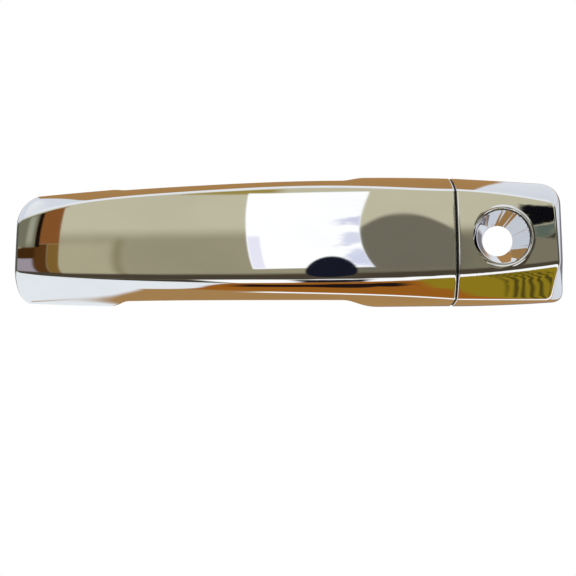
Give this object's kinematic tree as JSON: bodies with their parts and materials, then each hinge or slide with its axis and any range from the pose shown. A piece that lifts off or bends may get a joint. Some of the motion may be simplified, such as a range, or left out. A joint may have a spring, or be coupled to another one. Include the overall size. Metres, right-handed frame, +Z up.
{
  "type": "car door handle",
  "caption": "Chromed exterior pull handle for a car door, with a hinged grip, a fixed keyhole cap and the bracket, crank and return spring behind the door skin.",
  "frame": {"origin": "middle of the base bracket's outer face, which seats on the inner side of the door skin", "axes": "+X along the handle towards the keyhole cap at the rear, +Y into the door, +Z up; the outer face looks towards -Y"},
  "size_m": [0.2349, 0.0828, 0.0559],
  "materials": {
    "chrome": "bright chrome plating",
    "black_plastic": "fine moulded grain",
    "grey_plastic": "natural",
    "rubber": "matt",
    "steel": "turned",
    "zinc": "zinc plated",
    "brass": "turned"
  },
  "bodies": {
    "base": {"base_bracket": "black_plastic", "pivot_pin": "steel", "pivot_clip": "steel", "front_gasket": "rubber", "rear_gasket": "rubber", "rest_bumper": "rubber", "end_cap": "chrome", "cap_carrier": "black_plastic", "cap_bolt": "zinc", "front_bolt": "zinc", "front_insert": "brass", "rear_bolt": "zinc", "rear_insert": "brass", "crank_shaft": "steel", "crank_shaft_clip": "steel", "return_spring": "steel", "lock_sleeve": "chrome", "seam_seal": "rubber"},
    "grip": {"grip_cover": "chrome", "grip_carrier": "black_plastic", "grip_screw_front": "zinc", "grip_screw_middle": "zinc", "grip_screw_rear": "zinc", "pivot_bush": "grey_plastic", "drive_pin": "steel"},
    "crank": {"bell_crank": "black_plastic", "counterweight": "steel", "weight_rivet": "steel"},
    "clip": {"rod_clip": "grey_plastic"}
  },
  "joints": [
    {"name": "grip_pull", "type": "hinge", "parent": "base", "child": "grip", "pos_m": [-0.105, 0.01, 0], "axis": [0, 0, -1], "range_deg": [0, 9], "stiffness_Nm_per_rad": 6, "springref_deg": -5.73},
    {"name": "crank_turn", "type": "hinge", "parent": "base", "child": "crank", "pos_m": [0.05, 0.02225, -0.011], "axis": [1, 0, 0], "range_deg": [0, 62], "deforming": ["return_spring"]},
    {"name": "clip_swing", "type": "hinge", "parent": "crank", "child": "clip", "pos_m": [0.0674, 0.03908, -0.01337], "axis": [1, 0, 0], "range_deg": [-62, 0]}
  ],
  "couplings": [
    {"joint": "crank_turn", "follows": "grip_pull", "ratio": 6.85},
    {"joint": "clip_swing", "follows": "grip_pull", "ratio": -6.85}
  ]
}
